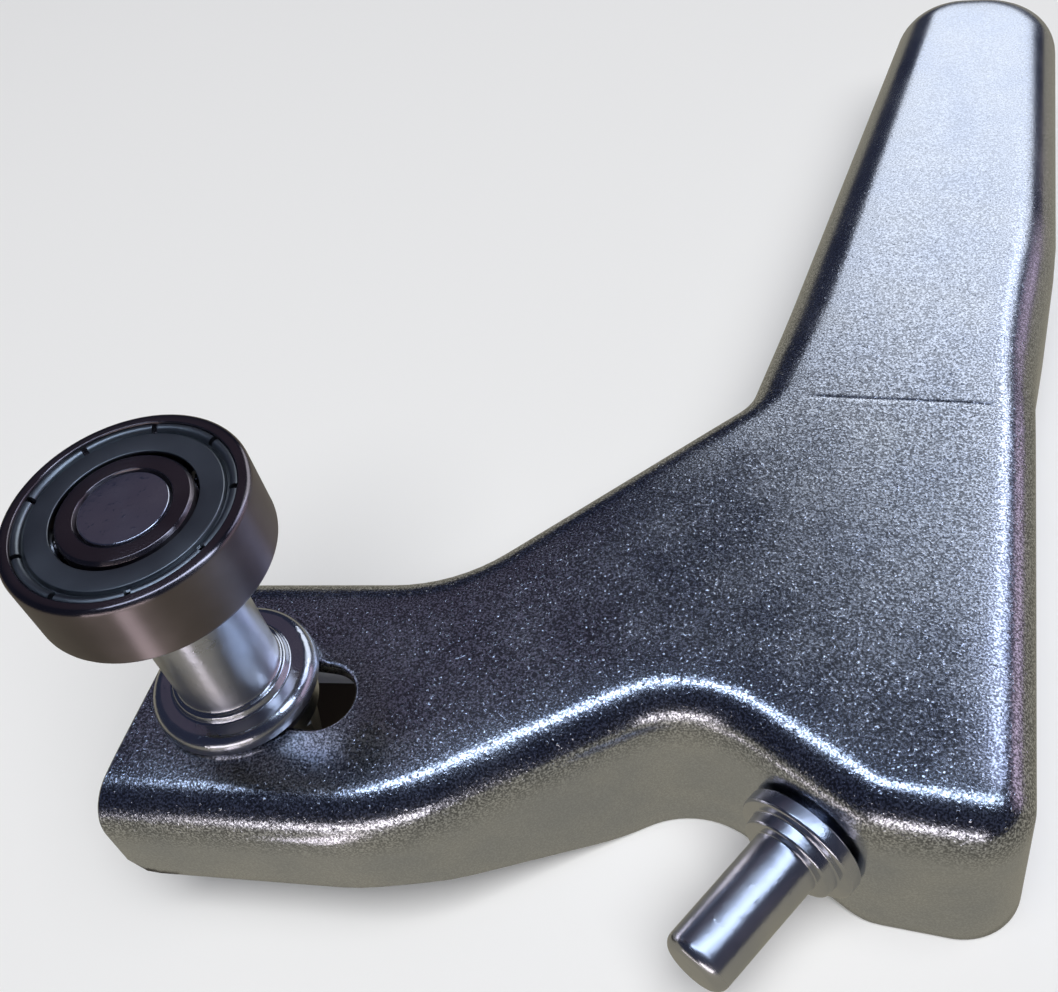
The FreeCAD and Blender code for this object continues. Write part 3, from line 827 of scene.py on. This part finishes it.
def ring_of(name, unit, count, radius_mm, height_mm, material, plate=None):
    """A plain mesh of copies round the stud's axis, at a height above the top face."""
    source_object = bpy.data.objects.new(name + "_unit", unit)
    bpy.context.scene.collection.objects.link(source_object)
    modifier = source_object.modifiers.new("ring", "NODES")
    modifier.node_group = RING
    values = {"Count": count, "Radius": radius_mm * MM, "Plate": plate, "Finish": material,
              "Centre": ORIGIN + Vector((0, 0, height_mm * MM))}
    for item in RING.interface.items_tree:
        if item.in_out == "INPUT" and item.name in values and values[item.name] is not None:
            modifier[item.identifier] = values[item.name]
    graph = bpy.context.evaluated_depsgraph_get()
    mesh = bpy.data.meshes.new_from_object(source_object.evaluated_get(graph))
    bpy.data.objects.remove(source_object)
    mesh.name = name
    mesh.shade_smooth()
    mesh.set_sharp_from_angle(angle=math.radians(40))
    piece = bpy.data.objects.new(name, mesh)
    bpy.context.scene.collection.objects.link(piece)
    print(f"{name}: {count} copies, {len(mesh.polygons)} faces")
    return piece


# %% [markdown]
# The plate is turned, with a step down to its lip. The lower shield is the same piece mirrored, so
# one loop makes both.

# %% Shields with crimped lips
SHIELD_BORE, SHIELD_THICK = 6.5, 0.3
PLATE_TOP = high - 0.22
TAB_COUNT, TAB_GAP = 9, math.radians(3.2)
plate_profile = [
    ((SHIELD_BORE, PLATE_TOP - SHIELD_THICK - centre), 0.05),
    ((8.75, PLATE_TOP - SHIELD_THICK - centre), 0.0), ((9.0, PLATE_TOP - 0.55 - centre), 0.0),
    ((9.0, PLATE_TOP - 0.4 - centre), 0.0), ((8.8, PLATE_TOP - 0.35 - centre), 0.05),
    ((8.6, PLATE_TOP - centre), 0.14), ((SHIELD_BORE, PLATE_TOP - centre), 0.1)]
TAB_PROFILE = [(8.95, -0.28), (9.1, -0.1), (9.3, 0.0), (9.55, 0.02), (9.72, -0.06), (9.78, -0.2),
               (9.78, -0.6), (8.95, -0.6)]


def crimped_tab():
    """One tab of the lip: a short arc of its section, closed at both ends."""
    steps, span = 18, 2 * math.pi / TAB_COUNT - TAB_GAP
    points, faces = [], []
    width = len(TAB_PROFILE)
    for k in range(steps + 1):
        angle = -span / 2 + span * k / steps
        for radius, height in TAB_PROFILE:
            points.append((radius * math.cos(angle), radius * math.sin(angle),
                           high - 0.12 - centre + height))
    for k in range(steps):
        for i in range(width):
            j = (i + 1) % width
            faces.append((k * width + i, k * width + j, (k + 1) * width + j, (k + 1) * width + i))
    faces.append(tuple(range(width)))
    faces.append(tuple(steps * width + i for i in range(width)))
    return points, faces


for side, flip in (("upper", 1), ("lower", -1)):
    disc_points, disc_faces = turned(plate_profile, 144)
    tab_points, tab_faces = crimped_tab()
    disc = bare_mesh("disc", [(x, y, z * flip) for x, y, z in disc_points], disc_faces)
    tab = bare_mesh("tab", [(x, y, z * flip) for x, y, z in tab_points], tab_faces)
    plate = bpy.data.objects.new("plate_" + side, disc)
    bpy.context.scene.collection.objects.link(plate)
    shield = ring_of("crimped_shield_" + side, tab, TAB_COUNT, 0.0, centre, satin_shield, plate)
    bpy.data.objects.remove(plate)
    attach(shield, "roller")
    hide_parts("bearing_shield_" + side)

# %% [markdown]
# The balls go on the pitch circle, level with the middle of the bearing, by the same tree.

# %% Balls
BALL, BALL_COUNT = 1.984, 7
ball_mesh = bpy.data.meshes.new("ball")
work = bmesh.new()
bmesh.ops.create_icosphere(work, subdivisions=4, radius=BALL * MM)
work.to_mesh(ball_mesh)
work.free()
balls = ring_of("polished_balls", ball_mesh, BALL_COUNT, PITCH, centre, ball_finish)
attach(balls, "cage")
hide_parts(*[f"bearing_ball_{k + 1}" for k in range(BALL_COUNT)])

# %% [markdown]
# ## Pieces kept from the frame
#
# The nut, the washers and the cage already have their final shape, so they only get a finish.

# %% Finish the kept nodes
KEPT = {"clamp_nut": plated_hardware, "clamp_washer": plated_hardware,
        "pin_backing_washer": plated_hardware, "spring_washer": spring_finish,
        "cage_upper": cage_finish, "cage_lower": cage_finish, "cage_rivets": cage_finish}
for node, finish in KEPT.items():
    mesh = frame["nodes"][node].data
    mesh.materials.clear()
    mesh.materials.append(finish)
print("kept nodes:", sorted(KEPT))

# %% [markdown]
# ## Studio
#
# Polished metal shows the room, so the room is built for it: a pale floor, a camera that looks down
# on the part from its near side, and soft panels that only the metal sees.

# %% Camera
EYE = Vector((61.16, -51.75, 92.2))
camera_data = bpy.data.cameras.new("camera")
camera = bpy.data.objects.new("camera", camera_data)
bpy.context.scene.collection.objects.link(camera)
camera.location = ORIGIN + EYE * MM
camera.rotation_euler = Euler([math.radians(a) for a in (39.877, 10.67, 15.1)])
camera_data.sensor_width = 36.0
camera_data.lens = 40.83
camera_data.shift_x, camera_data.shift_y = 0.0082, 0.0534
camera_data.clip_start, camera_data.clip_end = 0.01, 20.0
bpy.context.scene.camera = camera
print("camera at", [round(v / MM, 1) for v in camera.location], "mm")

# %% [markdown]
# A white floor would make the walls look white, so the metal sees an olive card in its place, with
# patches of painted shade close to the part and one bright one on the near side. They lie hidden
# just above the floor. Only the patch of painted shadow, which darkens the view down through the
# slot and the floor under the part, is seen by the camera.

# %% Floor, card and patches
floor_mesh = bpy.data.meshes.new("floor")
floor_mesh.from_pydata([(-3, -3, 0), (3, -3, 0), (3, 3, 0), (-3, 3, 0)], [], [(0, 1, 2, 3)])
floor = bpy.data.objects.new("floor", floor_mesh)
bpy.context.scene.collection.objects.link(floor)


def matte(name, code, glow=0.0):
    """A plain matte surface for the studio. glow makes it shine by its own colour instead."""
    material = bpy.data.materials.new(name)
    material.use_nodes = True
    shader = material.node_tree.nodes["Principled BSDF"]
    shader.inputs["Base Color"].default_value = linear(code)
    shader.inputs["Roughness"].default_value = 0.9
    shader.inputs["Specular IOR Level"].default_value = 0.1
    shader.inputs["Emission Color"].default_value = linear(code)
    shader.inputs["Emission Strength"].default_value = glow
    if glow:
        shader.inputs["Base Color"].default_value = linear("#000000")
    return material


floor_mesh.materials.append(matte("pale_floor", "#f2f2f1"))
card_mesh = floor_mesh.copy()
card_mesh.materials.clear()
card_mesh.materials.append(matte("olive_card", "#959080", glow=0.95))
card = bpy.data.objects.new("card", card_mesh)
card.location.z = 0.00002
bpy.context.scene.collection.objects.link(card)
card.visible_camera = card.visible_diffuse = card.visible_shadow = False
floor.visible_glossy = False


def flat_patch(name, corners, lift_mm, material, seen):
    """A flat patch just above the floor, from corners in millimetres about the stud."""
    mesh = bpy.data.meshes.new(name)
    height = -FACE_HEIGHT / MM + lift_mm
    mesh.from_pydata([ORIGIN + Vector((x, y, height)) * MM for x, y in corners], [],
                     [range(len(corners))])
    mesh.materials.append(material)
    patch = bpy.data.objects.new(name, mesh)
    bpy.context.scene.collection.objects.link(patch)
    patch.visible_camera = seen
    patch.visible_diffuse = patch.visible_shadow = False
    return patch


dark, glint = matte("painted_brown_shade", "#20150c"), matte("pale_glint", "#eadfe2", glow=3.0)
soft_dark = matte("painted_soft_brown_shade", "#463c33")
# Painted shade: a dark brown sheet under the whole outline, seen only in reflections, darkens what
# the metal sees under the part.
shade = flat_patch("shade", outline + inward * 0.5, 0.05, dark, False)
# Painted shadow: a soft brown sheet, seen by the camera, lies on the floor under the body and,
# pulled in 10 mm, under the arm, so the floor seen through the slot looks shaded.
under_arm = (outline[:, 0] < 40) & (outline[:, 1] < 4)
slot_line = outline + inward * np.where(under_arm, 10.0, 1.5)[:, None]
slot_shade = flat_patch("slot_shade", slot_line, 0.06, soft_dark, True)
# Painted shade: a dark brown sheet past the cut end, seen only in reflections, darkens what the
# washer and bearing see there.
end_shade = flat_patch(
    "end_shade", [(-30, -18), (-9, -18), (-9, 16), (-30, 16)], 0.04, dark, False)
near_glint = flat_patch(
    "near_glint", [(-2, -38), (9, -38), (20, -105), (2, -105)], 0.04, glint, False)
print("on the floor:", [o.name for o in (card, shade, slot_shade, end_shade, near_glint)])

# %% [markdown]
# The room is a dark blue in reflections and a pale grey to the camera. A broad soft window stands
# beyond the handle, a narrow strip hangs overhead, cooler and pinker panels stand to the right and
# a low one on the near side. One more panel lights the floor and isn't seen in the metal.

# %% Lights
world = bpy.data.worlds.new("room")
bpy.context.scene.world = world
world.use_nodes = True
seen = add(world.node_tree, "ShaderNodeLightPath").outputs["Is Camera Ray"]
room = add(world.node_tree, "ShaderNodeMix", {"Factor": seen}, data_type="RGBA")
room.inputs[6].default_value = [v * 0.4 for v in linear("#454b63")]
room.inputs[7].default_value = linear("#e4e5e7")
background = world.node_tree.nodes["Background"]
world.node_tree.links.new(room.outputs[2], background.inputs["Color"])
AIM = Vector((0.0, 0.0, 0.01))


def panel(name, place, size, radiance, code, glossy=True, diffuse=False, along=None):
    """A soft rectangular light that faces the part. Its first size lies along a level line, or
    along the given direction. radiance is what the metal sees of it."""
    data = bpy.data.lights.new(name, "AREA")
    data.shape = "RECTANGLE"
    data.size, data.size_y = size
    data.energy = radiance * size[0] * size[1] * math.pi
    data.color = linear(code, alpha=False)
    light = bpy.data.objects.new(name, data)
    light.location = place
    back = (Vector(place) - AIM).normalized()
    level = Vector(along or Vector((0, 0, 1)).cross(back))
    level = (level - back * level.dot(back)).normalized()
    light.rotation_euler = Matrix((level, back.cross(level), back)).transposed().to_euler()
    bpy.context.scene.collection.objects.link(light)
    light.visible_camera = False
    light.visible_glossy = glossy
    light.visible_diffuse = diffuse
    return light


panel("window", (0.22, 1.0, 0.62), (0.9, 0.6), 1.6, "#dfe6ef")
panel("window_top", (0.25, 0.85, 1.08), (0.6, 0.26), 0.75, "#dfe9f6")
panel("strip", (0.15, 0.03, 1.2), (1.7, 0.24), 5.5, "#cfe2ff", along=(1, 0, 0))
panel("side", (0.56, 0.68, 0.88), (0.5, 0.55), 1.9, "#cfdcff")
panel("right_low", (0.95, 0.45, 0.25), (0.9, 0.36), 0.85, "#e0c9de")
panel("near", (0.05, -1.0, 0.16), (0.9, 0.2), 3.0, "#fbf1f1")
panel("room", (-0.75, 0.75, 1.25), (0.8, 0.8), 0.12, "#a78f97")
panel("floor_fill", (0.3, -0.5, 1.6), (1.5, 1.5), 4.8, "#ffffff", glossy=False, diffuse=True)

# %% [markdown]
# The colours go to the picture as they are, without a film curve.

# %% Look of the picture
bpy.context.scene.view_settings.view_transform = "Standard"
